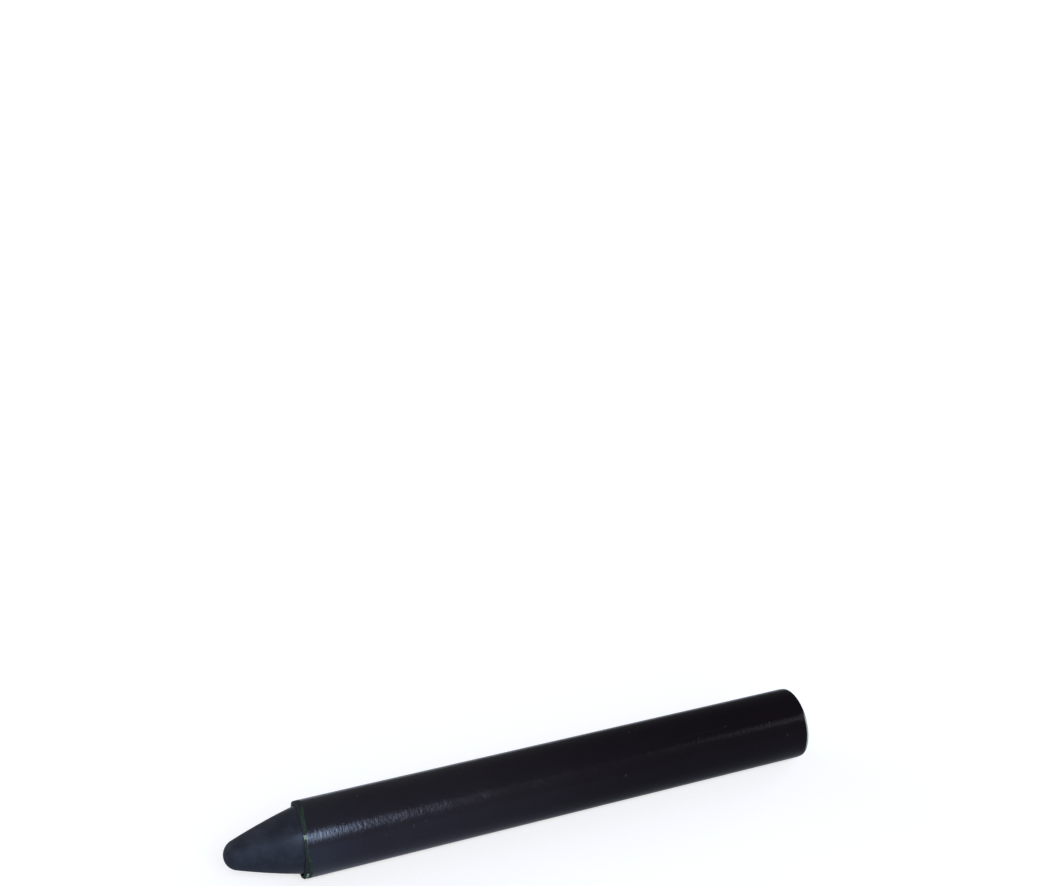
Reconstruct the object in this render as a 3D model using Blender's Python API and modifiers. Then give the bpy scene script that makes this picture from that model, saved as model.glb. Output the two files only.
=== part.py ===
"""Wax pencil: a moulded wax stick that slides in a rolled, two-ply paper sleeve.

Units are metres and +Z is up. The pencil lies along X with its point towards -X.
The origin is on the resting surface, under the middle of the pencil's length.
"""

import math

import bmesh
import bpy

MM = 0.001

# Sleeve: a lacquered cover rolled over a thicker plain liner
SLEEVE_DIAMETER = 12.0 * MM
SLEEVE_LENGTH = 88.2 * MM
COVER_THICKNESS = 0.15 * MM
LINER_THICKNESS = 0.40 * MM
PLY_GAP = 0.05 * MM
LINER_PROUD = 0.15 * MM
LINER_BUTT_GAP = 0.30 * MM

# Where the pencil lies, the cover is pressed flat between two creases, this far round from straight down
CREASE_ANGLE = math.radians(12.5)

# Lengthwise seams; angles run from straight up towards +Y
SEAM_ANGLE = math.radians(52.5)
SEAM_LAP = 2.0 * MM
SEAM_RAMP = 1.4 * MM
SEAM_GLUE = 0.05 * MM
SEAM_GLUE_INSET = 0.3 * MM
SEAT_GAP = 0.02 * MM
LINER_BUTT_ANGLE = math.radians(217.5)

# Raw front edges of the paper: a slanted cut, furthest forward at one angle, and waves that share its depth
CUT_SLANT = 0.35 * MM
CUT_ANGLE = math.radians(243.5)
RAGGED_DEPTH = 0.12 * MM
RAGGED_WAVES = ((3.0, 0.45), (7.3, 0.35), (12.7, 0.20))
COVER_PHASE = 0.4
LINER_PHASE = 2.1

# Wax stick: a rod with a blunt, slightly bowed point and a dished pouring end
SLIDE_CLEARANCE = 0.06 * MM
POINT_LENGTH = 11.8 * MM
POINT_SETBACK = 0.50 * MM
POINT_ROUND = 0.15 * MM
FLANK_RADIUS = 100.0 * MM
NOSE_RADIUS = 2.40 * MM
BACK_ROUND = 0.40 * MM
BACK_LAND = 1.65 * MM
DISH_DEPTH = 0.35 * MM

# Fineness of the round shapes
SEGMENTS = 72
ARC_STEPS = 8
SHARP_ANGLE = math.radians(30)

# Places along the axis, measured towards the point from the middle of the pencil
PENCIL_LENGTH = SLEEVE_LENGTH + POINT_LENGTH
NOSE_Z = PENCIL_LENGTH / 2
BACK_Z = -PENCIL_LENGTH / 2
COVER_FRONT_Z = BACK_Z + SLEEVE_LENGTH
LINER_FRONT_Z = COVER_FRONT_Z + LINER_PROUD

# Radii, from the outside in
COVER_RADIUS = SLEEVE_DIAMETER / 2
LINER_RADIUS = COVER_RADIUS - COVER_THICKNESS - PLY_GAP
BORE_RADIUS = LINER_RADIUS - LINER_THICKNESS
STICK_RADIUS = BORE_RADIUS - SLIDE_CLEARANCE
DISH_RADIUS = STICK_RADIUS - BACK_ROUND - BACK_LAND
SEAM_RISE = COVER_THICKNESS + SEAM_GLUE + 2 * SEAT_GAP

FACET_ANGLE = 2 * math.pi / SEGMENTS


def clear_scene():
    for obj in list(bpy.data.objects):
        bpy.data.objects.remove(obj, do_unlink=True)


def new_material(name, color, roughness, metallic=0.0):
    material = bpy.data.materials.new(name)
    material.use_nodes = True
    shader = material.node_tree.nodes["Principled BSDF"]
    shader.inputs["Base Color"].default_value = (*color, 1.0)
    shader.inputs["Roughness"].default_value = roughness
    shader.inputs["Metallic"].default_value = metallic
    return material


def facet_radius(radius):
    """Corner radius of a polygon whose flats touch the true circle, so that a flat rests on the floor."""
    return radius / math.cos(FACET_ANGLE / 2)


def facet_angles(start, end):
    """Corner angles from start to end: both ends, and every corner of the shared polygon between them."""
    first = math.floor(start / FACET_ANGLE - 0.5) + 1
    last = math.ceil(end / FACET_ANGLE - 0.5) - 1
    shared = [(index + 0.5) * FACET_ANGLE for index in range(first, last + 1)]
    slack = 0.01 * FACET_ANGLE
    inner = [angle for angle in shared if start + slack < angle < end - slack]
    return [start, *inner, end]


def ragged(angle, phase):
    """How far the raw edge stands out at this angle: the slant of the cut and a few waves."""
    waves = sum(share * math.sin(count * angle + count * phase) for count, share in RAGGED_WAVES)
    return RAGGED_DEPTH * waves + CUT_SLANT * math.cos(angle - CUT_ANGLE)


def arc(center, radius, start, end, steps=ARC_STEPS):
    """Points (r, z) along an arc in the profile plane."""
    turns = [start + (end - start) * step / steps for step in range(steps + 1)]
    return [(center[0] + radius * math.cos(turn), center[1] + radius * math.sin(turn)) for turn in turns]


def smooth_step(share):
    share = min(max(share, 0.0), 1.0)
    return share * share * (3 - 2 * share)


def evaluate(obj):
    """Replace the object's modifiers by their result and shade its round faces smooth."""
    graph = bpy.context.evaluated_depsgraph_get()
    mesh = bpy.data.meshes.new_from_object(obj.evaluated_get(graph))
    obj.modifiers.clear()
    obj.data = mesh
    mesh.name = obj.name
    mesh.shade_smooth()
    mesh.set_sharp_from_angle(angle=SHARP_ANGLE)


def add_object(name, mesh, material, collection, parent):
    obj = bpy.data.objects.new(name, mesh)
    collection.objects.link(obj)
    obj.parent = parent
    mesh.materials.append(material)
    return obj


def turned(name, profile, material, collection, parent):
    """A solid of revolution about the pencil's axis, from a profile (r, z) that starts at the nose."""
    mesh = bpy.data.meshes.new(name)
    half_facet = FACET_ANGLE / 2
    points = []
    for r, z in profile:
        corner = facet_radius(r)
        points.append((corner * math.cos(half_facet), corner * math.sin(half_facet), z))
    mesh.from_pydata(points, [(index, index + 1) for index in range(len(points) - 1)], [])
    obj = add_object(name, mesh, material, collection, parent)
    screw = obj.modifiers.new("Screw", "SCREW")
    screw.axis = "Z"
    screw.steps = SEGMENTS
    screw.render_steps = SEGMENTS
    screw.use_merge_vertices = True
    screw.merge_threshold = 0.001 * MM
    evaluate(obj)
    return obj


def rolled(name, outline, front_z, phase, thickness, material, collection, parent, back_z=BACK_Z):
    """A sheet rolled about the axis: its outer face follows the outline, its front edge is ragged."""
    sheet = bmesh.new()
    turn_layer = sheet.verts.layers.float.new("turn")
    row = []
    for angle, radius in outline:
        vert = sheet.verts.new((radius * math.cos(angle), radius * math.sin(angle), back_z))
        vert[turn_layer] = angle
        row.append(vert)
    edges = [sheet.edges.new(pair) for pair in zip(row, row[1:])]
    made = bmesh.ops.extrude_edge_only(sheet, edges=edges)["geom"]
    for vert in made:
        if isinstance(vert, bmesh.types.BMVert):
            vert.co.z = front_z + (0.0 if phase is None else ragged(vert[turn_layer], phase))
    sheet.normal_update()
    sheet.faces.ensure_lookup_table()
    first = sheet.faces[0]
    if first.normal.dot(first.calc_center_median()) < 0:
        bmesh.ops.reverse_faces(sheet, faces=sheet.faces)
    mesh = bpy.data.meshes.new(name)
    sheet.to_mesh(mesh)
    sheet.free()
    obj = add_object(name, mesh, material, collection, parent)
    solidify = obj.modifiers.new("Solidify", "SOLIDIFY")
    solidify.thickness = thickness
    solidify.offset = -1.0
    solidify.use_even_offset = True
    evaluate(obj)
    return obj


def stick_profile():
    """Profile of the wax stick: round nose, bowed flank, rod, rounded back edge and a shallow dish."""
    base_z = COVER_FRONT_Z - POINT_SETBACK
    nose_center = (0.0, NOSE_Z - NOSE_RADIUS)

    # The flank is an arc that leaves the nose without a corner and ends on the rod's front edge
    apart = FLANK_RADIUS - NOSE_RADIUS
    rise = nose_center[1] - base_z
    reach = math.hypot(STICK_RADIUS, rise)
    lean = (FLANK_RADIUS**2 - apart**2 - reach**2) / (2 * apart * reach)
    nose_turn = math.acos(lean) - math.atan2(rise, STICK_RADIUS)
    nose = arc(nose_center, NOSE_RADIUS, math.pi / 2, nose_turn)

    flank_center = (-apart * math.cos(nose_turn), nose_center[1] - apart * math.sin(nose_turn))
    base_turn = math.atan2(base_z - flank_center[1], STICK_RADIUS - flank_center[0])
    flank = arc(flank_center, FLANK_RADIUS, nose_turn, base_turn)

    setback = POINT_ROUND * math.tan(base_turn / 2)
    round_center = (STICK_RADIUS - POINT_ROUND, base_z - setback)
    point_edge = arc(round_center, POINT_ROUND, base_turn, 0.0)

    back_center = (STICK_RADIUS - BACK_ROUND, BACK_Z + BACK_ROUND)
    back_edge = arc(back_center, BACK_ROUND, 0.0, -math.pi / 2)

    dish_sphere = (DISH_RADIUS**2 + DISH_DEPTH**2) / (2 * DISH_DEPTH)
    dish_center = (0.0, BACK_Z + DISH_DEPTH - dish_sphere)
    dish_start = math.atan2(BACK_Z - dish_center[1], DISH_RADIUS)
    dish = arc(dish_center, dish_sphere, dish_start, math.pi / 2)

    profile = nose + flank[1:-1] + point_edge + back_edge + dish
    profile[0] = (0.0, NOSE_Z)
    profile[-1] = (0.0, BACK_Z + DISH_DEPTH)
    return profile


def cover_radius(angle):
    """Outer radius of the cover at a corner: round, but flat underneath and taut beside each crease."""
    aside = abs(angle - math.pi)
    if aside < CREASE_ANGLE:
        return COVER_RADIUS / math.cos(aside)
    if aside < 2 * CREASE_ANGLE:
        return COVER_RADIUS / math.cos(2 * CREASE_ANGLE - aside)
    return facet_radius(COVER_RADIUS)


def cover_outline():
    """Outer face of the cover: a full turn, then up a ramp and over its own first edge."""
    first_edge = SEAM_ANGLE
    last_edge = first_edge + 2 * math.pi + SEAM_LAP / COVER_RADIUS
    ramp = SEAM_RAMP / COVER_RADIUS
    outline = []
    for angle in facet_angles(first_edge, last_edge):
        share = (angle - (first_edge + 2 * math.pi - ramp)) / ramp
        outline.append((angle, cover_radius(angle) + facet_radius(SEAM_RISE * smooth_step(share))))
    return outline


def liner_outline():
    """Outer face of the liner: one turn whose two edges meet at a butt gap."""
    half_gap = LINER_BUTT_GAP / LINER_RADIUS / 2
    angles = facet_angles(LINER_BUTT_ANGLE + half_gap, LINER_BUTT_ANGLE + 2 * math.pi - half_gap)
    return [(angle, facet_radius(LINER_RADIUS)) for angle in angles]


def glue_outline():
    """Outer face of the glue line between the cover's first edge and the flap over it."""
    inset = SEAM_GLUE_INSET / COVER_RADIUS
    angles = facet_angles(SEAM_ANGLE + inset, SEAM_ANGLE + SEAM_LAP / COVER_RADIUS - inset)
    return [(angle, facet_radius(COVER_RADIUS + SEAT_GAP + SEAM_GLUE)) for angle in angles]


def main():
    clear_scene()
    collection = bpy.data.collections.new("wax_pencil")
    bpy.context.scene.collection.children.link(collection)

    axis = bpy.data.objects.new("pencil_axis", None)
    axis.location = (0.0, 0.0, COVER_RADIUS)
    axis.rotation_euler = (0.0, -math.pi / 2, 0.0)
    collection.objects.link(axis)

    wax = new_material("black_wax", (0.025, 0.031, 0.045), 0.55)
    lacquered_paper = new_material("lacquered_paper", (0.013, 0.012, 0.017), 0.28)
    plain_paper = new_material("plain_paper", (0.041, 0.068, 0.054), 0.8)
    glue = new_material("clear_glue", (0.35, 0.31, 0.22), 0.35)

    turned("wax_stick", stick_profile(), wax, collection, axis)
    rolled(
        "sleeve_liner",
        liner_outline(),
        LINER_FRONT_Z,
        LINER_PHASE,
        LINER_THICKNESS,
        plain_paper,
        collection,
        axis,
    )
    rolled(
        "sleeve_cover",
        cover_outline(),
        COVER_FRONT_Z,
        COVER_PHASE,
        COVER_THICKNESS,
        lacquered_paper,
        collection,
        axis,
    )
    rolled(
        "seam_glue",
        glue_outline(),
        COVER_FRONT_Z - CUT_SLANT - RAGGED_DEPTH - SEAM_GLUE_INSET,
        None,
        SEAM_GLUE,
        glue,
        collection,
        axis,
        back_z=BACK_Z + SEAM_GLUE_INSET,
    )


main()
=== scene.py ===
import math
import random

import bmesh
import bpy
from mathutils import Matrix, Vector, noise


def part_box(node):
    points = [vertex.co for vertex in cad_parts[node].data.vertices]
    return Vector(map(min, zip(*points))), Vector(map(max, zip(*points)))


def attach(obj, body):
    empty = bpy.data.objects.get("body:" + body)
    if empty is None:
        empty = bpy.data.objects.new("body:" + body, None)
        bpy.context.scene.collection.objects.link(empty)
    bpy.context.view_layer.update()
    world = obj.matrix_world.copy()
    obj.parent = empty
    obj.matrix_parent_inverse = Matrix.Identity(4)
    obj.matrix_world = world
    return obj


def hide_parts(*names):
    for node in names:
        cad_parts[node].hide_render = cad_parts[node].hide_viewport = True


bl_info = {
    "name": "Wax pencil",
    "version": (1, 0, 0),
    "blender": (4, 5, 0),
    "location": "3D View > Sidebar > Wax pencil",
    "description": "Dresses a wax marking pencil: cast wax stick, rolled paper sleeve and a plain stage",
    "category": "Add Mesh",
}

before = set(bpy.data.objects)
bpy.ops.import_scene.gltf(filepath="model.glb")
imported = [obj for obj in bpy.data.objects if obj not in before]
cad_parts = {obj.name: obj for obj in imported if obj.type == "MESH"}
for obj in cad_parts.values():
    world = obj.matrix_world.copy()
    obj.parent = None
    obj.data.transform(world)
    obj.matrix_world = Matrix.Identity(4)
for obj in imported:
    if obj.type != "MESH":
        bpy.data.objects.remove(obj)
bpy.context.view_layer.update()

MM = 0.001
SHEET_MAP = "sheet"
SKIN = "skin"

# Stretches of the cover's front margin, measured round it from its first edge: start, rise, end and fall
PEELED = (12 * MM, 5 * MM, 25.5 * MM, 4 * MM)
RUBBED = (26.5 * MM, 1.5 * MM, 33 * MM, 3 * MM)
TORN = (29.8 * MM, 2.0 * MM, 37 * MM, 3 * MM)

COVER_LOW, COVER_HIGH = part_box("sleeve_cover")
LINER_LOW, LINER_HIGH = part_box("sleeve_liner")
STICK_LOW, STICK_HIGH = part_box("wax_stick")
GLUE_LOW, GLUE_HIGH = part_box("seam_glue")


def linear(hex_color):
    """Linear RGB of an sRGB colour written as #rrggbb."""
    parts = [int(hex_color[place:place + 2], 16) / 255 for place in (1, 3, 5)]
    return tuple(part / 12.92 if part <= 0.04045 else ((part + 0.055) / 1.055) ** 2.4 for part in parts)


def length_property(name, description, default):
    return bpy.props.FloatProperty(
        name=name, description=description, default=default, unit="LENGTH", subtype="DISTANCE", precision=5
    )


def angle_property(name, description, degrees):
    return bpy.props.FloatProperty(
        name=name, description=description, default=math.radians(degrees), unit="ROTATION", subtype="ANGLE"
    )


def color_property(name, description, hex_color):
    return bpy.props.FloatVectorProperty(
        name=name, description=description, default=linear(hex_color),
        subtype="COLOR", size=3, min=0.0, max=1.0,
    )


def level_property(name, description, default):
    return bpy.props.FloatProperty(name=name, description=description, default=default, min=0.0)


class PencilSizes(bpy.types.PropertyGroup):
    """Sizes of the pencil's pieces; angles run from straight up towards +Y"""

    sleeve_radius: length_property(
        "Sleeve radius", "Outside of the cover, away from its lap", (COVER_HIGH.z - COVER_LOW.z) / 2
    )
    cover_thickness: length_property("Cover thickness", "Lacquered outer ply", 0.15 * MM)
    cover_front: length_property("Cover front", "Mean place of the cover's raw edge along X", -38.2 * MM)
    liner_radius: length_property(
        "Liner radius", "Outside of the inner ply", (LINER_HIGH.z - LINER_LOW.z) / 2
    )
    liner_thickness: length_property("Liner thickness", "Plain inner ply", 0.40 * MM)
    liner_proud: length_property("Liner proud", "How far the liner stands in front of the cover", 0.15 * MM)
    cut_slant: length_property(
        "Cut slant", "How far the front cut leans to each side of its mean", 0.35 * MM
    )
    cut_angle: angle_property("Cut angle", "Side at which the front cut is furthest forward", 243.5)
    ragged_depth: length_property("Ragged depth", "Unevenness of the raw front edges", 0.10 * MM)
    crease_angle: angle_property(
        "Crease angle", "Half of the flat on which the pencil lies, from straight down", 12.5
    )
    skin_margin: length_property(
        "Skin margin", "Width of the front margin that has lost its lacquer", 0.20 * MM
    )
    skin_peel: length_property("Skin peel", "Extra width of that margin where it has peeled", 0.72 * MM)
    skin_rub: length_property("Skin rub", "Extra width of that margin where it is rubbed, on top", 0.25 * MM)
    skin_torn: length_property("Skin torn", "Extra width of that margin where it is torn, on top", 0.50 * MM)
    seam_angle: angle_property("Seam angle", "First edge of the cover", 52.5)
    seam_lap: length_property("Seam lap", "Overlap of the cover on itself", 2.0 * MM)
    seam_ramp: length_property("Seam ramp", "Width over which the cover climbs to its lap", 1.4 * MM)
    seam_rise: length_property("Seam rise", "Height of the lap over the first turn", 0.24 * MM)
    glue_thickness: length_property("Glue thickness", "Film of paste in the lap", 0.05 * MM)
    butt_angle: angle_property("Butt angle", "Seam of the liner", 217.5)
    butt_gap: length_property("Butt gap", "Gap between the liner's two edges", 0.30 * MM)
    stick_radius: length_property("Stick radius", "Wax rod in the sleeve", (STICK_HIGH.z - STICK_LOW.z) / 2)
    nose: length_property("Nose", "Place of the point's tip along X", STICK_LOW.x)
    nose_radius: length_property("Nose radius", "Round tip of the wax point", 2.40 * MM)
    flank_radius: length_property("Flank radius", "Bow of the point's flank", 100.0 * MM)
    point_setback: length_property("Point setback", "How far inside the cover the point starts", 0.50 * MM)
    back: length_property("Back end", "Place of the flat back end along X", COVER_HIGH.x)
    back_round: length_property("Back round", "Rounded edge of the wax stick's back end", 0.40 * MM)
    back_land: length_property("Back land", "Flat ring between the back edge and the dish", 1.65 * MM)
    dish_depth: length_property("Dish depth", "Shrinkage dish in the poured end", 0.35 * MM)


class PencilColors(bpy.types.PropertyGroup):
    """Colours of the pencil's finishes"""

    wax: color_property("Wax", "Blue-black pigmented wax", "#21232c")
    wax_bloom: color_property("Wax bloom", "Pale film that wax grows as it ages", "#2b2f3a")
    wax_pit: color_property("Wax pit", "Pinholes and scratches in the wax", "#15171c")
    # Painted light: the lacquer runs from the first colour at the back end to the second, lighter one
    # towards the point, for the light falling off along the length
    lacquer: color_property("Lacquer", "Black lacquer at the clean back end", "#110d14")
    lacquer_painted_lit: color_property(
        "Handled lacquer", "Black lacquer hazed by handling near the point", "#222028"
    )
    lacquer_mottle: color_property("Mottle", "Darker clouds in the lacquer", "#0c0b0e")
    lacquer_worn: color_property("Worn lacquer", "Scuffs in the lacquer", "#25262c")
    fleck: color_property("Fleck", "Nicks in the lacquer, down to the paper", "#3c3c43")
    raw_paper: color_property("Raw paper", "Green paper under the lacquer", "#25342c")
    paper_shade: color_property("Paper shade", "Darker parts of the green paper", "#222f28")
    raw_fibre: color_property("Raw fibre", "Loose fibres of the green paper", "#43594d")
    # Partly painted highlight: the flakes and the bare back edge take this pale colour, partly split paper
    # and partly painted light
    flake: color_property("Flake", "Torn flake of paper at the front edge", "#9db0a9")
    soaked_paper: color_property("Soaked paper", "Paper that has drawn in dark wax", "#25292f")
    paste: color_property("Paste", "Dried paste in the lap", "#4f4a3d")
    paste_thin: color_property("Thin paste", "Dried paste where its film is thin", "#2a2721")


class PencilStage(bpy.types.PropertyGroup):
    """Camera, light and floor"""

    camera_place: bpy.props.FloatVectorProperty(
        name="Camera", description="Where the camera stands", subtype="TRANSLATION", unit="LENGTH", size=3,
        default=(-86.5 * MM, -205.3 * MM, 149.7 * MM),
    )
    camera_heading: angle_property("Heading", "Camera's turn from +Y towards +X", 23.09)
    camera_pitch: angle_property("Pitch", "Camera's tilt below the horizon", 20.65)
    camera_roll: angle_property("Roll", "Camera's turn about its own line of sight", -0.16)
    camera_lens: bpy.props.FloatProperty(
        name="Lens", description="Focal length on a 36 mm sensor, in millimetres",
        default=53.76, subtype="DISTANCE_CAMERA",
    )
    floor_color: color_property("Floor", "Plain pale floor, a little cool", "#bac5d6")
    floor_size: length_property("Floor size", "Side of the floor", 12.0)
    floor_light: color_property(
        "Floor light", "Colour of the floor's glow, which evens out its cool tone", "#fffbf6"
    )
    floor_glow: level_property(
        "Floor glow", "What the floor adds for the eye so that it reads as white", 0.63
    )
    floor_mirror: level_property("Floor mirror", "Share of that glow which glossy surfaces mirror", 0.10)
    ambient: level_property("Ambient", "Level of the even light all round", 0.16)
    key_level: level_property("Key", "Irradiance of the tall soft lamp in front", 1.45)
    card_level: level_property("Card", "Irradiance of the pale card that stands low in front", 0.21)
    fill_level: level_property("Fill", "Irradiance of the wide low card on the left", 0.66)
    glint_level: level_property("Glint", "Irradiance of the small lamp left of the camera", 0.55)
    side_level: level_property("Side", "Irradiance of the small side lamp", 0.16)
    end_level: level_property("End", "Irradiance of the wide lamp beyond the flat end", 0.9)
    back_level: level_property("Back", "Irradiance of the wide back lamp", 0.7)


def sizes():
    return bpy.context.scene.pencil_sizes


def colors():
    return bpy.context.scene.pencil_colors


def rgba(color):
    return (*color, 1.0)


def per_mm(millimetres):
    """Texture scale at which one cell of a pattern is this many millimetres wide."""
    return 1.0 / (millimetres * MM)


def add_node(tree, kind, inputs=None, **settings):
    """Add one node: settings are its own properties, inputs are values or sockets by name or number."""
    node = tree.nodes.new(kind)
    for name, value in settings.items():
        setattr(node, name, value)
    for name, value in (inputs or {}).items():
        if isinstance(value, bpy.types.NodeSocket):
            tree.links.new(value, node.inputs[name])
        else:
            node.inputs[name].default_value = value
    return node


def pattern(tree, place, millimetres, detail=2.0, roughness=0.5):
    """Soft random pattern from 0 to 1 with features of this size."""
    inputs = {"Vector": place, "Scale": per_mm(millimetres), "Detail": detail, "Roughness": roughness}
    return add_node(tree, "ShaderNodeTexNoise", inputs).outputs["Fac"]


def stretched(tree, place, scale):
    """The same coordinates, along which a pattern is drawn out where the scale is below 1."""
    inputs = {"Vector": place, "Scale": scale}
    return add_node(tree, "ShaderNodeMapping", inputs).outputs["Vector"]


def ramp(tree, value, start, end, low=0.0, high=1.0):
    """Smooth change from low to high while the value goes from start to end."""
    inputs = {"Value": value, "From Min": start, "From Max": end, "To Min": low, "To Max": high}
    return add_node(tree, "ShaderNodeMapRange", inputs, interpolation_type="SMOOTHSTEP").outputs["Result"]


def calculate(tree, operation, *values):
    return add_node(tree, "ShaderNodeMath", dict(enumerate(values)), operation=operation).outputs["Value"]


def blend(tree, share, first, second):
    """Colour that goes from the first to the second as the share goes from 0 to 1."""
    inputs = {"Factor": share}
    node = add_node(tree, "ShaderNodeMix", inputs, data_type="RGBA")
    for socket, color in ((node.inputs[6], first), (node.inputs[7], second)):
        if isinstance(color, bpy.types.NodeSocket):
            tree.links.new(color, socket)
        else:
            socket.default_value = rgba(color)
    return node.outputs[2]


def raise_surface(tree, shader, height, depth):
    """Bump the surface by a pattern whose full height is a real depth."""
    bump = add_node(tree, "ShaderNodeBump", {"Height": height, "Strength": 1.0, "Distance": depth})
    tree.links.new(bump.outputs["Normal"], shader.inputs["Normal"])


def seen_share(tree, mirror):
    """1 where the camera sees it straight, and the mirror's share where gloss or glass shows it."""
    path = add_node(tree, "ShaderNodeLightPath")
    mirrored = calculate(tree, "MAXIMUM", path.outputs["Is Glossy Ray"], path.outputs["Is Transmission Ray"])
    mirrored = calculate(tree, "MULTIPLY", mirrored, mirror)
    return calculate(tree, "MAXIMUM", path.outputs["Is Camera Ray"], mirrored)


def new_material(name):
    material = bpy.data.materials.new(name)
    material.use_nodes = True
    return material, material.node_tree, material.node_tree.nodes["Principled BSDF"]


def lacquered_paper():
    """Black lacquered paper, rolled: a satin skin whose grain breaks up the highlight, scuffed along
    the roll, nicked here and there, reflecting more strongly near the point, and torn back to the green
    paper at its front edge. Its colour is painted lighter towards the point: painted light that stands
    in for the light falling off towards the back end."""
    material, tree, shader = new_material("black_lacquered_paper_rolled")
    sheet = add_node(tree, "ShaderNodeUVMap", uv_map=SHEET_MAP).outputs["UV"]
    grain = pattern(tree, sheet, 0.50, detail=2.0, roughness=0.6)
    ripple = pattern(tree, sheet, 3.0, detail=1.0)
    hoop = stretched(tree, sheet, (0.25, 1.0, 1.0))
    ridge = pattern(tree, hoop, 0.40, detail=1.0)
    mottle = pattern(tree, sheet, 6.0, detail=4.0)
    blotch = pattern(tree, sheet, 2.5, detail=2.0)
    fine = pattern(tree, sheet, 0.28, detail=3.0)

    # Scuffs and nicks
    drawn_out = stretched(tree, sheet, (1.0, 0.04, 1.0))
    scuff = ramp(tree, pattern(tree, drawn_out, 0.5), 0.62, 0.82, high=0.25)

    wobble = add_node(tree, "ShaderNodeTexNoise", {"Vector": sheet, "Scale": per_mm(0.7)}).outputs["Color"]
    uneven = add_node(
        tree, "ShaderNodeVectorMath",
        {0: wobble, 1: (0.9 * MM, 0.9 * MM, 0.0), 2: sheet}, operation="MULTIPLY_ADD",
    ).outputs["Vector"]
    cells = add_node(
        tree, "ShaderNodeTexVoronoi", {"Vector": uneven, "Scale": per_mm(3.6)}, voronoi_dimensions="2D"
    )
    drawn = add_node(tree, "ShaderNodeSeparateColor", {"Color": cells.outputs["Color"]})
    reach = ramp(tree, drawn.outputs["Red"], 0.45, 1.0, low=0.0, high=0.06)
    nick = calculate(tree, "SUBTRACT", reach, cells.outputs["Distance"])
    nick = ramp(tree, nick, 0.0, 0.02)
    nick = calculate(tree, "MULTIPLY", nick, drawn.outputs["Green"])

    # Colour of the lacquer, painted lighter towards the point as painted light
    place = add_node(tree, "ShaderNodeSeparateXYZ", {"Vector": sheet})
    around, along = place.outputs["X"], place.outputs["Y"]
    near_point = ramp(tree, along, 80 * MM, 0.0)
    greasy = ramp(tree, along, 34 * MM, 1 * MM)
    held = ramp(tree, along, 54 * MM, 8 * MM)
    fingered = ramp(tree, along, 11 * MM, 0.0)
    # Painted light: the lighter lacquer is blended in towards the point, for the light falling off along the
    # length
    tone = blend(tree, near_point, colors().lacquer, colors().lacquer_painted_lit)
    tone = blend(tree, calculate(tree, "MULTIPLY", mottle, 0.35), tone, colors().lacquer_mottle)
    tone = blend(tree, scuff, tone, colors().lacquer_worn)
    tone = blend(tree, calculate(tree, "MULTIPLY", nick, 0.45), tone, colors().fleck)
    wear = calculate(tree, "MAXIMUM", scuff, nick)

    # Bare and soaked paper at the front edge, and the back edge, bare paper painted pale only on the side
    # that faces the camera: partly bare paper, partly a painted highlight
    skin = add_node(tree, "ShaderNodeAttribute", attribute_name=SKIN).outputs["Fac"]
    skin = calculate(tree, "MULTIPLY_ADD", fine, 0.16 * MM, skin)
    bare = ramp(tree, skin, 0.10 * MM, 0.06 * MM)
    stained = calculate(tree, "SUBTRACT", skin, ramp(tree, around, 31.4 * MM, 32.6 * MM, high=0.5 * MM))
    soaked = ramp(tree, calculate(tree, "MULTIPLY_ADD", grain, 0.30 * MM, stained), -0.16 * MM, -0.34 * MM)
    soaked = calculate(tree, "MINIMUM", soaked, bare)
    fibrous = ramp(tree, fine, 0.40, 0.75, high=0.6)
    paper = blend(tree, fibrous, colors().paper_shade, colors().raw_fibre)
    tone = blend(tree, bare, tone, paper)
    tone = blend(tree, soaked, tone, colors().soaked_paper)
    back_cut = sizes().back - sizes().cover_front
    # Painted highlight, partly: the back edge is bared and painted pale only over the side that faces the
    # camera
    back_edge_bare_and_highlight = ramp(tree, around, 28.0 * MM, 26.0 * MM, high=ramp(tree, around, 19.5 * MM, 22.0 * MM))
    back_edge_bare_and_highlight = ramp(tree, along, back_cut - 0.34 * MM, back_cut - 0.22 * MM, high=back_edge_bare_and_highlight)
    tone = blend(tree, back_edge_bare_and_highlight, tone, colors().flake)
    bare = calculate(tree, "MAXIMUM", bare, back_edge_bare_and_highlight)
    tree.links.new(tone, shader.inputs["Base Color"])

    # Gloss
    gloss = ramp(tree, grain, 0.3, 0.7, low=0.09, high=0.15)
    gloss = calculate(tree, "ADD", gloss, ramp(tree, blotch, 0.4, 0.65, high=0.04))
    gloss = calculate(tree, "MULTIPLY_ADD", held, 0.02, gloss)
    gloss = calculate(tree, "MULTIPLY_ADD", wear, 0.25, gloss)
    gloss = calculate(tree, "MULTIPLY_ADD", bare, 0.40, gloss)
    tree.links.new(gloss, shader.inputs["Roughness"])
    shine = calculate(tree, "MULTIPLY_ADD", held, 0.30, 0.14)
    shine = calculate(tree, "MULTIPLY_ADD", fingered, 0.50, shine)
    shine = calculate(tree, "MULTIPLY", shine, ramp(tree, bare, 0.0, 1.0, low=1.0, high=0.2))
    shader.inputs["Specular IOR Level"].default_value = 0.30
    tree.links.new(shine, shader.inputs["Specular IOR Level"])

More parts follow.
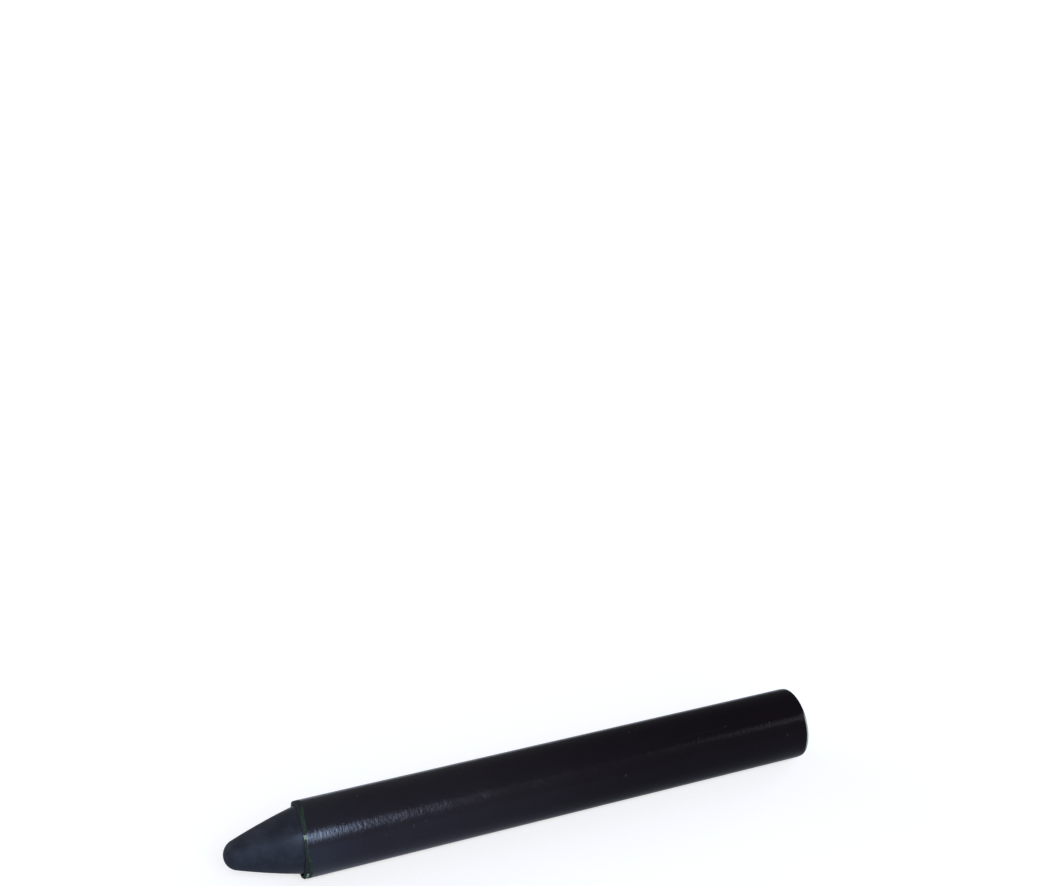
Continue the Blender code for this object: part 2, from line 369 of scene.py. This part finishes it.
    # Relief and tint
    relief = calculate(tree, "MULTIPLY_ADD", ripple, 0.9, grain)
    ridge_height = ramp(tree, greasy, 0.0, 1.0, low=0.35, high=0.55)
    relief = calculate(tree, "MULTIPLY_ADD", ridge, ridge_height, relief)
    relief = calculate(tree, "MULTIPLY_ADD", nick, -1.5, relief)
    relief = calculate(tree, "MULTIPLY_ADD", calculate(tree, "MULTIPLY", bare, fine), 1.5, relief)
    raise_surface(tree, shader, relief, 0.020 * MM)
    shader.inputs["IOR"].default_value = 1.40
    tint = blend(tree, near_point, (1.0, 0.95, 1.0), (0.75, 0.78, 1.0))
    tint = blend(tree, greasy, tint, (0.54, 0.69, 1.0))
    shader.inputs["Specular Tint"].default_value = rgba((0.80, 0.83, 1.0))
    tree.links.new(tint, shader.inputs["Specular Tint"])
    return material


def raw_paper():
    """Green paper, torn: dull, with short fibres lying across each other."""
    material, tree, shader = new_material("green_paper_torn")
    place = add_node(tree, "ShaderNodeTexCoord").outputs["Object"]
    fibres = pattern(tree, place, 0.22, detail=4.0)
    tone = blend(tree, pattern(tree, place, 1.5), colors().paper_shade, colors().raw_paper)
    tone = blend(tree, ramp(tree, fibres, 0.45, 0.75, high=0.7), tone, colors().raw_fibre)
    tree.links.new(tone, shader.inputs["Base Color"])
    raise_surface(tree, shader, fibres, 0.05 * MM)
    shader.inputs["Roughness"].default_value = 0.85
    return material


def split_paper_highlight():
    """Paper, split through its thickness: dry and fuzzy, and pale partly as a painted highlight, so that it
    shows as a bright chip.
    """
    material, tree, shader = new_material("pale_paper_split_highlight")
    place = add_node(tree, "ShaderNodeTexCoord").outputs["Object"]
    fibres = pattern(tree, place, 0.15, detail=4.0)
    tree.links.new(blend(tree, fibres, colors().raw_fibre, colors().flake), shader.inputs["Base Color"])
    raise_surface(tree, shader, fibres, 0.05 * MM)
    shader.inputs["Roughness"].default_value = 0.7
    return material


def soaked_paper():
    """Plain paper, soaked in wax: nearly black, faintly greasy, with its fibres still showing."""
    material, tree, shader = new_material("plain_paper_wax_soaked")
    place = add_node(tree, "ShaderNodeTexCoord").outputs["Object"]
    fibres = pattern(tree, place, 0.25, detail=4.0)
    tone = blend(tree, ramp(tree, fibres, 0.42, 0.72, high=0.5), colors().soaked_paper, colors().raw_paper)
    tree.links.new(tone, shader.inputs["Base Color"])
    raise_surface(tree, shader, fibres, 0.05 * MM)
    shader.inputs["Roughness"].default_value = 0.65
    shader.inputs["IOR"].default_value = 1.40
    return material


def cast_wax():
    """Pigmented wax, cast: matte and blue-black, clouded by a thin bloom, with pinholes left by the mould
    and fine marks where it has rubbed along the sleeve."""
    material, tree, shader = new_material("black_pigmented_wax_cast")
    place = add_node(tree, "ShaderNodeTexCoord").outputs["Object"]
    grain = pattern(tree, place, 0.35, detail=3.0)
    bloom = ramp(tree, pattern(tree, place, 2.6, detail=5.0, roughness=0.62), 0.38, 0.72)
    drawn_out = stretched(tree, place, (0.06, 1.0, 1.0))
    rub = ramp(tree, pattern(tree, drawn_out, 0.35), 0.58, 0.80, high=0.6)
    cells = add_node(tree, "ShaderNodeTexVoronoi", {"Vector": place, "Scale": per_mm(1.0)})
    pinhole = ramp(tree, cells.outputs["Distance"], 0.13, 0.04)
    tone = blend(tree, bloom, colors().wax, colors().wax_bloom)
    tone = blend(tree, calculate(tree, "MULTIPLY", rub, 0.4), tone, colors().wax_bloom)
    tone = blend(tree, pinhole, tone, colors().wax_pit)
    tree.links.new(tone, shader.inputs["Base Color"])
    along = add_node(tree, "ShaderNodeSeparateXYZ", {"Vector": place}).outputs["X"]
    rubbed = ramp(tree, along, sizes().cover_front - 4 * MM, sizes().cover_front, high=-0.25)
    gloss = ramp(tree, bloom, 0.0, 1.0, low=0.52, high=0.60)
    tree.links.new(calculate(tree, "ADD", gloss, rubbed), shader.inputs["Roughness"])
    relief = calculate(tree, "MULTIPLY_ADD", pinhole, -2.0, grain)
    relief = calculate(tree, "MULTIPLY_ADD", rub, -0.4, relief)
    raise_surface(tree, shader, relief, 0.015 * MM)
    shader.inputs["IOR"].default_value = 1.38
    shader.inputs["Specular Tint"].default_value = rgba((0.48, 0.67, 1.0))
    shader.inputs["Specular IOR Level"].default_value = 0.34
    return material


def dried_paste():
    """Starch paste, dried in a thin film: a dull amber gloss."""
    material, tree, shader = new_material("starch_paste_dried")
    place = add_node(tree, "ShaderNodeTexCoord").outputs["Object"]
    tone = blend(tree, pattern(tree, place, 1.2, detail=3.0), colors().paste_thin, colors().paste)
    tree.links.new(tone, shader.inputs["Base Color"])
    shader.inputs["Roughness"].default_value = 0.32
    return material


def shared(make):
    """The material that a maker gives, made once and then used by every piece of that stuff."""
    name = "made_by_" + make.__name__
    scene = bpy.context.scene
    if name not in scene:
        scene[name] = make().name
    return bpy.data.materials[scene[name]]


def smooth_step(share):
    share = min(max(share, 0.0), 1.0)
    return share * share * (3 - 2 * share)


def on_roll(radius, angle, x):
    """Point at a radius and an angle, from straight up towards +Y, in the round section at x."""
    return Vector((x, radius * math.sin(angle), sizes().sleeve_radius + radius * math.cos(angle)))


def wander(along, around, width):
    """Smooth unevenness from -1 to 1 over a sheet, with features about this wide."""
    return noise.noise(Vector((along / width, around / width, 0.37)))


def ragged_edge(around, seed):
    """How far a torn edge stands out, from about -1 to 1: slow waves with finer tears on them."""
    coarse = noise.noise(Vector((around / (2.6 * MM), seed, 0.0)))
    fine = noise.noise(Vector((around / (0.7 * MM), seed, 5.0)))
    finest = noise.noise(Vector((around / (0.28 * MM), seed, 9.0)))
    return 0.9 * coarse + 0.6 * fine + 0.35 * finest


def cut_forward(angle):
    """How far the slanted front cut stands in front of its mean place at an angle."""
    return sizes().cut_slant * math.cos(angle - sizes().cut_angle)


def cover_radius(angle):
    """Outer radius of the cover: round, but pressed flat underneath and drawn taut beside each crease."""
    size = sizes()
    aside = abs(math.remainder(angle - math.pi, 2 * math.pi))
    if aside < size.crease_angle:
        return size.sleeve_radius / math.cos(aside)
    return size.sleeve_radius / math.cos(max(2 * size.crease_angle - aside, 0.0))


def torn_forward(around, along, seed):
    """How far a raw front edge is torn out or in, which fades behind the edge."""
    return sizes().ragged_depth * ragged_edge(around, seed) * math.exp(-along / (0.6 * MM))


def stretch(around, start, rise, end, fall):
    """1 over one stretch of the cover, going softly to 0 at both ends."""
    return smooth_step((around - start) / rise) * smooth_step((end - around) / fall)


def torn_back(around):
    """How far behind the raw edge the lacquer skin ends: a narrow margin, wider over one peeled stretch
    and, on top, over a rubbed and a torn one."""
    size = sizes()
    margin = size.skin_margin
    margin += size.skin_peel * stretch(around, *PEELED)
    margin += size.skin_rub * stretch(around, *RUBBED)
    margin += size.skin_torn * stretch(around, *TORN)
    return margin + 0.08 * MM * ragged_edge(around, 4.0)


def flat_sheet(columns, rows):
    """A unit sheet lying flat, with a map for its own coordinates and sharp cut edges."""
    sheet = bmesh.new()
    sheet.loops.layers.uv.new(SHEET_MAP)
    bmesh.ops.create_grid(sheet, x_segments=columns, y_segments=rows, size=0.5)
    for edge in sheet.edges:
        edge.smooth = not edge.is_boundary
    return sheet


def roll_up(sheet, width, length, row_bias, place):
    """Roll a unit sheet: place gives the point for a distance round and a distance from the front edge.
    Returns those two distances for each corner point."""
    layer = sheet.loops.layers.uv[SHEET_MAP]
    at = {}
    for vert in sheet.verts:
        at[vert] = ((vert.co.x + 0.5) * width, (vert.co.y + 0.5) ** row_bias * length)
    for face in sheet.faces:
        for loop in face.loops:
            loop[layer].uv = at[loop.vert]
    for vert, (around, along) in at.items():
        vert.co = place(around, along)
    sheet.normal_update()
    sheet.faces.ensure_lookup_table()
    first = sheet.faces[0]
    outward = first.calc_center_median() - Vector((0.0, 0.0, sizes().sleeve_radius))
    outward.x = 0.0
    if first.normal.dot(outward) < 0:
        bmesh.ops.reverse_faces(sheet, faces=sheet.faces)
    return at


def add_object(name, shape, materials):
    """Put a bmesh into the scene as an object with these materials."""
    mesh = bpy.data.meshes.new(name)
    shape.to_mesh(mesh)
    shape.free()
    for material in materials:
        mesh.materials.append(material)
    made = bpy.data.objects.new(name, mesh)
    bpy.context.scene.collection.objects.link(made)
    return made


def finish_piece(name, shape, materials, body, *nodes, slot=None):
    """Turn a bmesh into a smooth piece that rides on a body and stands for CAD nodes."""
    for face in shape.faces:
        face.smooth = True
    piece = add_object(name, shape, materials)
    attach(piece, body)
    if nodes:
        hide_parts(*nodes)
    return piece


def thicken(piece, thickness):
    """Give a sheet its thickness inwards; its inner face and cut edges take the second material."""
    solidify = piece.modifiers.new("Thickness", "SOLIDIFY")
    solidify.thickness = thickness
    solidify.offset = -1.0
    solidify.use_even_offset = True
    solidify.material_offset = 1
    solidify.material_offset_rim = 1


class PENCIL_OT_wax_stick(bpy.types.Operator):
    """Turn the cast wax stick, with its blunt bowed point, its rod and its dished back end"""

    bl_idname = "pencil.wax_stick"
    bl_label = "Wax stick"

    steps = 192
    pits = 46
    dish_pits = 9
    smooth_nose = 0.6 * MM
    uneven = 0.012 * MM
    ring_depth = 0.008 * MM
    ring_spacing = 0.13 * MM

    def profile(self):
        """Points (x, radius) from the nose to the middle of the back end."""
        size = sizes()
        base = size.cover_front + size.point_setback
        center = size.nose + size.nose_radius
        apart = size.flank_radius - size.nose_radius
        reach = math.hypot(size.stick_radius, base - center)
        lean = (size.flank_radius**2 - apart**2 - reach**2) / (2 * apart * reach)
        nose_turn = math.acos(lean) - math.atan2(base - center, size.stick_radius)
        points = []
        nose_steps = 24
        for step in range(nose_steps + 1):
            turn = (math.pi / 2 - nose_turn) * step / nose_steps
            points.append((center - size.nose_radius * math.cos(turn), size.nose_radius * math.sin(turn)))

        middle = (center + apart * math.sin(nose_turn), -apart * math.cos(nose_turn))
        base_turn = math.atan2(middle[0] - base, size.stick_radius - middle[1])
        flank_steps = 66
        for step in range(1, flank_steps + 1):
            turn = nose_turn + (base_turn - nose_turn) * step / flank_steps
            bow = size.flank_radius
            points.append((middle[0] - bow * math.sin(turn), middle[1] + bow * math.cos(turn)))

        rod_end = size.back - size.back_round
        rod_steps = 84
        for step in range(1, rod_steps + 1):
            points.append((base + (rod_end - base) * step / rod_steps, size.stick_radius))
        shoulder = size.stick_radius - size.back_round
        round_steps = 8
        for step in range(1, round_steps + 1):
            turn = math.pi / 2 * step / round_steps
            x = rod_end + size.back_round * math.sin(turn)
            points.append((x, shoulder + size.back_round * math.cos(turn)))
        land_steps = 10
        for step in range(1, land_steps + 1):
            points.append((size.back, shoulder - size.back_land * step / land_steps))
        dish_radius = shoulder - size.back_land
        dish_steps = 30
        for step in range(1, dish_steps + 1):
            radius = dish_radius * (1 - step / dish_steps)
            points.append((size.back - size.dish_depth * (1 - (radius / dish_radius) ** 2), radius))
        points[0] = (size.nose, 0.0)
        points[-1] = (size.back - size.dish_depth, 0.0)
        return points

    def marks(self):
        """Small pits: a middle, a width and a depth each, over the point and in the dish."""
        size = sizes()
        draw = random.Random(3)
        marks = []
        first = size.nose + self.smooth_nose
        outline = [(x, radius) for x, radius in self.profile() if first < x < size.cover_front]
        for _ in range(self.pits):
            x, radius = draw.choice(outline)
            middle = on_roll(radius, draw.uniform(0, 2 * math.pi), x)
            marks.append((middle, draw.uniform(0.2, 0.5) * MM, draw.uniform(0.01, 0.04) * MM))
        for _ in range(self.dish_pits):
            radius = draw.uniform(0.2, 3.0) * MM
            middle = on_roll(radius, draw.uniform(0, 2 * math.pi), size.back - size.dish_depth)
            marks.append((middle, draw.uniform(0.25, 0.45) * MM, draw.uniform(0.03, 0.08) * MM))
        return marks

    def execute(self, context):
        size = sizes()
        height = size.sleeve_radius
        stick = bmesh.new()
        verts = [stick.verts.new((x, 0.0, height + radius)) for x, radius in self.profile()]
        edges = [stick.edges.new(pair) for pair in zip(verts, verts[1:])]
        bmesh.ops.spin(
            stick, geom=verts + edges, cent=(0.0, 0.0, height), axis=(1.0, 0.0, 0.0),
            angle=2 * math.pi, steps=self.steps, use_merge=True,
        )
        bmesh.ops.remove_doubles(stick, verts=stick.verts, dist=0.0001 * MM)
        bmesh.ops.recalc_face_normals(stick, faces=stick.faces)
        stick.normal_update()
        marks = self.marks()
        sunk = {}
        for vert in stick.verts:
            at_back = vert.co.x > size.back - size.dish_depth - 0.1 * MM
            if size.cover_front < vert.co.x and not at_back:
                continue
            sink = self.uneven * (1 + noise.noise(vert.co / (2.2 * MM))) / 2
            radius = math.hypot(vert.co.y, vert.co.z - height)
            if at_back and radius < size.stick_radius - size.back_round:
                sink += self.ring_depth * (1 + math.sin(radius / self.ring_spacing))
            for middle, wide, depth in marks:
                if abs(vert.co.x - middle.x) < wide:
                    sink += depth * (1 - smooth_step((vert.co - middle).length / wide))
            sunk[vert] = vert.normal * sink
        for vert, sink in sunk.items():
            vert.co -= sink
        finish_piece("cast_wax_stick", stick, [shared(cast_wax)], "stick", "wax_stick", slot="wax")
        return {"FINISHED"}


class PENCIL_OT_sleeve_liner(bpy.types.Operator):
    """Roll the plain liner once round, with its two edges butted and its front edge torn"""

    bl_idname = "pencil.sleeve_liner"
    bl_label = "Sleeve liner"

    columns = 300
    rows = 60

    def execute(self, context):
        size = sizes()
        radius = size.liner_radius
        width = 2 * math.pi * radius - size.butt_gap
        front = size.cover_front - size.liner_proud
        length = size.back - front

        def place(around, along):
            angle = size.butt_angle + (around + size.butt_gap / 2) / radius
            edge = front - cut_forward(angle)
            tear = torn_forward(around, along, 7.0)
            fuzz = 0.02 * MM * wander(along, around, 0.3 * MM) * math.exp(-along / (0.4 * MM))
            return on_roll(radius + fuzz, angle, edge + along * (size.back - edge) / length - tear)

        sheet = flat_sheet(self.columns, self.rows)
        roll_up(sheet, width, length, 2.0, place)
        materials = [shared(soaked_paper)] * 2
        piece = finish_piece("plain_liner", sheet, materials, "sleeve", "sleeve_liner", slot="plain_paper")
        thicken(piece, size.liner_thickness)
        return {"FINISHED"}


class PENCIL_OT_sleeve_cover(bpy.types.Operator):
    """Roll the lacquered cover round once and lap it over its own first edge"""

    bl_idname = "pencil.sleeve_cover"
    bl_label = "Sleeve cover"

    columns = 200
    rows = 225
    dents = 26
    knocks = ((26.4 * MM, 28.7 * MM), (26.7 * MM, 33.9 * MM), (26.5 * MM, 37.4 * MM))
    knock_width = 0.8 * MM
    knock_depth = 0.020 * MM
    uneven = 0.02 * MM
    skin_step = 0.05 * MM
    skin_lift = 0.008 * MM
    tuck_length = 0.5 * MM
    tuck_depth = 0.06 * MM

    def execute(self, context):
        size = sizes()
        radius = size.sleeve_radius
        turn = 2 * math.pi * radius
        length = size.back - size.cover_front
        draw = random.Random(11)
        dents = [(*spot, self.knock_width, self.knock_depth) for spot in self.knocks]
        for _ in range(self.dents):
            middle = (draw.uniform(0, turn), draw.uniform(3 * MM, length))
            dents.append((*middle, draw.uniform(1.0, 2.0) * MM, draw.uniform(0.006, 0.018) * MM))

        def place(around, along):
            angle = size.seam_angle + around / radius
            edge = size.cover_front - cut_forward(angle)
            tear = torn_forward(around, along, 1.0)
            level = cover_radius(angle)
            level += size.seam_rise * smooth_step((around - turn + size.seam_ramp) / size.seam_ramp)
            level -= self.uneven * (1 + wander(along, around * 1.6, 11 * MM)) / 2
            for dent_around, dent_along, wide, depth in dents:
                apart = math.hypot(around - dent_around, along - dent_along) / wide
                if apart < 1:
                    level -= depth * (1 - smooth_step(apart))
            skin = along - torn_back(around)
            level -= self.skin_step * (1 - smooth_step(skin / (0.12 * MM) + 0.5))
            if skin > 0:
                fading = math.exp(-skin / (0.25 * MM))
                level += self.skin_lift * fading * (1 + wander(along, around, 1.1 * MM))
            turned_in = max(0.0, 1 - (length - along) / self.tuck_length)
            level -= self.tuck_depth * turned_in**2
            return on_roll(level, angle, edge + along * (size.back - edge) / length - tear)

        sheet = flat_sheet(self.columns, self.rows)
        skin_layer = sheet.verts.layers.float.new(SKIN)
        at = roll_up(sheet, turn + size.seam_lap, length, 1.5, place)
        for vert, (around, along) in at.items():
            vert[skin_layer] = along - torn_back(around)
        materials = [shared(lacquered_paper), shared(raw_paper)]
        piece = finish_piece(
            "lacquered_cover", sheet, materials, "sleeve", "sleeve_cover", slot="lacquered_paper"
        )
        thicken(piece, size.cover_thickness)
        return {"FINISHED"}


class PENCIL_OT_torn_edge(bpy.types.Operator):
    """Stand loose fibres and two torn flakes on the cover's front edge"""

    bl_idname = "pencil.torn_edge"
    bl_label = "Torn edge"

    count = 240
    root_depth = 0.05 * MM
    flake_thickness = 0.04 * MM
    # The flakes' pale colour is partly painted light: a painted glint on the first, where the highlight
    # meets the edge, and painted light from below on the second, under the edge
    flakes = ((306.0, 0.9 * MM, 0.50 * MM, 0.22 * MM), (239.0, 1.7 * MM, 0.42 * MM, 0.08 * MM))

    def add_strand(self, strands, root, heading, curl, thin, stride):
        """Grow a thin bent strand from a root: a small ring drawn out three times and closed to a point."""
        ring = bmesh.ops.create_circle(
            strands, cap_ends=True, segments=3, radius=thin,
            matrix=Matrix.Translation(root) @ heading.to_track_quat("Z", "Y").to_matrix().to_4x4(),
        )["verts"]
        edges = list({edge for vert in ring for edge in vert.link_edges})
        for _ in range(3):
            made = bmesh.ops.extrude_edge_only(strands, edges=edges)["geom"]
            ring = [item for item in made if isinstance(item, bmesh.types.BMVert)]
            edges = [item for item in made if isinstance(item, bmesh.types.BMEdge)]
            edges = [edge for edge in edges if all(vert in ring for vert in edge.verts)]
            bmesh.ops.translate(strands, verts=ring, vec=heading.normalized() * stride)
            heading = heading.normalized() + curl
        tip = sum((vert.co for vert in ring), Vector()) / len(ring)
        bmesh.ops.pointmerge(strands, verts=ring, merge_co=tip)

    def add_flake(self, strands, degrees, wide, long, proud):
        """One flake of split paper, lifted at its front, which stands a little proud of the edge."""
        size = sizes()
        middle = math.radians(degrees)
        edge = size.cover_front - cut_forward(middle)
        made = bmesh.ops.create_grid(strands, x_segments=6, y_segments=6, size=0.5)["verts"]
        for vert in made:
            share = vert.co.y + 0.5
            torn = noise.noise(vert.co * 2.3 + Vector((7.0, 1.0, 0.0)))
            across = wide * vert.co.x * (1 - 0.5 * share) + (0.25 * torn + 0.1 * share) * MM
            level = size.sleeve_radius + 0.015 * MM + 0.08 * MM * (1 - share) ** 2 * (1 + torn)
            vert.co = on_roll(level, middle + across / size.sleeve_radius, edge + long * share - proud)
        faces = list({face for vert in made for face in vert.link_faces})
        bmesh.ops.recalc_face_normals(strands, faces=faces)
        for face in faces:
            face.material_index = 1
        bmesh.ops.solidify(strands, geom=faces, thickness=self.flake_thickness)

    def execute(self, context):
        size = sizes()
        draw = random.Random(5)
        strands = bmesh.new()
        for _ in range(self.count):
            around = draw.uniform(0, 2 * math.pi * size.sleeve_radius)
            angle = size.seam_angle + around / size.sleeve_radius
            back = torn_back(around) - draw.uniform(0.0, 0.3) * MM
            edge = size.cover_front - cut_forward(angle)
            root = on_roll(size.sleeve_radius - self.root_depth, angle, edge + max(back, 0.0))
            sideways = Vector((0.0, math.cos(angle), -math.sin(angle)))
            outward = Vector((0.0, math.sin(angle), math.cos(angle)))
            heading = sideways * draw.uniform(-1.3, 1.3) + outward * draw.uniform(0.05, 0.35)
            heading.x = -1.0
            curl = sideways * draw.uniform(-0.5, 0.5) + outward * draw.uniform(-0.25, 0.05)
            thin = draw.uniform(0.008, 0.016) * MM
            stride = draw.uniform(0.04, 0.10) * MM
            self.add_strand(strands, root, heading, curl, thin, stride)
        bmesh.ops.recalc_face_normals(strands, faces=strands.faces)
        for flake in self.flakes:
            self.add_flake(strands, *flake)
        materials = [shared(raw_paper), shared(split_paper_highlight)]
        finish_piece("torn_edge", strands, materials, "sleeve", slot="lacquered_paper")
        return {"FINISHED"}


class PENCIL_OT_seam_glue(bpy.types.Operator):
    """Lay the film of paste in the lap, squeezed out a little along the free edge"""

    bl_idname = "pencil.seam_glue"
    bl_label = "Seam glue"

    columns = 16
    rows = 220
    inset = 0.3 * MM
    squeezed_out = 0.2 * MM
    clearance = 0.02 * MM

    def execute(self, context):
        size = sizes()
        radius = size.sleeve_radius
        length = GLUE_HIGH.x - GLUE_LOW.x
        width = size.seam_lap - self.inset + self.squeezed_out

        def place(around, along):
            squeezed = 0.14 * MM * wander(along, 3.0, 2.3 * MM) + 0.07 * MM * wander(along, 8.0, 0.8 * MM)
            share = around / width
            level = radius + self.clearance + size.glue_thickness
            if share > 0.85:
                level -= self.clearance * (share - 0.85) / 0.15
            reach = self.inset + around + share * squeezed
            return on_roll(level, size.seam_angle + reach / radius, GLUE_LOW.x + along)

        sheet = flat_sheet(self.columns, self.rows)
        roll_up(sheet, width, length, 1.0, place)
        materials = [shared(dried_paste)] * 2
        piece = finish_piece("seam_paste", sheet, materials, "sleeve", "seam_glue", slot="glue")
        thicken(piece, size.glue_thickness)
        return {"FINISHED"}


class PENCIL_OT_stage(bpy.types.Operator):
    """Set the pale floor, the lamps and the camera"""

    bl_idname = "pencil.stage"
    bl_label = "Stage"

    def execute(self, context):
        stage = context.scene.pencil_stage
        self.lay_floor(stage)
        self.light(stage)
        self.set_camera(stage)
        context.scene.view_settings.view_transform = "Standard"
        return {"FINISHED"}

    def lay_floor(self, stage):
        shape = bmesh.new()
        bmesh.ops.create_grid(shape, x_segments=1, y_segments=1, size=stage.floor_size / 2)
        material, tree, shader = new_material("white_board_painted")
        glow = calculate(tree, "MULTIPLY", seen_share(tree, stage.floor_mirror), stage.floor_glow)
        tree.links.new(glow, shader.inputs["Emission Strength"])
        shader.inputs["Emission Color"].default_value = rgba(stage.floor_light)
        shader.inputs["Base Color"].default_value = rgba(stage.floor_color)
        shader.inputs["Roughness"].default_value = 0.9
        shader.inputs["Specular IOR Level"].default_value = 0.0
        floor = add_object("floor", shape, [material])

    def light(self, stage):
        world = bpy.data.worlds.new("studio")
        bpy.context.scene.world = world
        world.use_nodes = True
        tree = world.node_tree
        background = tree.nodes["Background"]
        background.inputs["Color"].default_value = (1.0, 1.0, 1.0, 1.0)
        strength = calculate(tree, "MAXIMUM", seen_share(tree, stage.floor_mirror), stage.ambient)
        tree.links.new(strength, background.inputs["Strength"])
        lamps = (
            ("key_low", stage.key_level / 2, 0.4, 29.5, 25.0),
            ("key_high", stage.key_level / 2, 0.4, 40.0, 25.0),
            ("card_lamp", stage.card_level, 8.0, 10.0, 74.0),
            ("fill_lamp", stage.fill_level, -36.0, 3.0, 60.0),
            ("glint_lamp", stage.glint_level, -19.0, 41.0, 12.0),
            ("side_lamp", stage.side_level, 44.0, 33.0, 18.0),
            ("end_lamp", stage.end_level, 105.0, 15.0, 40.0),
            ("back_lamp", stage.back_level, 218.0, 22.0, 44.0),
        )
        for name, level, azimuth, elevation, softness in lamps:
            lamp = bpy.data.lights.new(name, "SUN")
            lamp.energy = level
            lamp.angle = math.radians(softness)
            holder = bpy.data.objects.new(name, lamp)
            turn, rise = math.radians(azimuth), math.radians(elevation)
            level_part = math.cos(rise)
            towards = Vector((math.sin(turn) * level_part, -math.cos(turn) * level_part, math.sin(rise)))
            holder.rotation_mode = "QUATERNION"
            holder.rotation_quaternion = towards.to_track_quat("Z", "Y")
            holder.location = towards
            bpy.context.scene.collection.objects.link(holder)

    def set_camera(self, stage):
        heading, pitch, roll = stage.camera_heading, stage.camera_pitch, stage.camera_roll
        level_part = math.cos(pitch)
        sight = Vector((level_part * math.sin(heading), level_part * math.cos(heading), -math.sin(pitch)))
        level_right = Vector((math.cos(heading), -math.sin(heading), 0.0))
        level_up = level_right.cross(sight)
        right = math.cos(roll) * level_right + math.sin(roll) * level_up
        up = math.cos(roll) * level_up - math.sin(roll) * level_right
        lens = bpy.data.cameras.new("camera")
        lens.sensor_width = 36.0
        lens.lens = stage.camera_lens
        lens.clip_start = 1.0 * MM
        lens.clip_end = 50.0
        camera = bpy.data.objects.new("camera", lens)
        turn = Matrix((right, up, -sight)).transposed().to_4x4()
        camera.matrix_world = Matrix.Translation(stage.camera_place) @ turn
        bpy.context.scene.collection.objects.link(camera)
        bpy.context.scene.camera = camera


class PENCIL_PT_sidebar(bpy.types.Panel):
    """Steps that dress the pencil, in order"""

    bl_idname = "PENCIL_PT_sidebar"
    bl_label = "Wax pencil"
    bl_space_type = "VIEW_3D"
    bl_region_type = "UI"
    bl_category = "Wax pencil"

    def draw(self, context):
        for step in STEPS:
            self.layout.operator(step.bl_idname)


STEPS = (
    PENCIL_OT_wax_stick,
    PENCIL_OT_sleeve_liner,
    PENCIL_OT_sleeve_cover,
    PENCIL_OT_torn_edge,
    PENCIL_OT_seam_glue,
    PENCIL_OT_stage,
)
GROUPS = {"pencil_sizes": PencilSizes, "pencil_colors": PencilColors, "pencil_stage": PencilStage}


def register():
    for group in GROUPS.values():
        bpy.utils.register_class(group)
    for step in STEPS:
        bpy.utils.register_class(step)
    bpy.utils.register_class(PENCIL_PT_sidebar)
    for name, group in GROUPS.items():
        setattr(bpy.types.Scene, name, bpy.props.PointerProperty(type=group))


def unregister():
    for name in GROUPS:
        delattr(bpy.types.Scene, name)
    bpy.utils.unregister_class(PENCIL_PT_sidebar)
    for step in reversed(STEPS):
        bpy.utils.unregister_class(step)
    for group in reversed(GROUPS.values()):
        bpy.utils.unregister_class(group)


def main():
    register()
    bpy.ops.pencil.wax_stick()
    bpy.ops.pencil.sleeve_liner()
    bpy.ops.pencil.sleeve_cover()
    bpy.ops.pencil.torn_edge()
    bpy.ops.pencil.seam_glue()
    bpy.ops.pencil.stage()


if __name__ == "__main__":
    main()
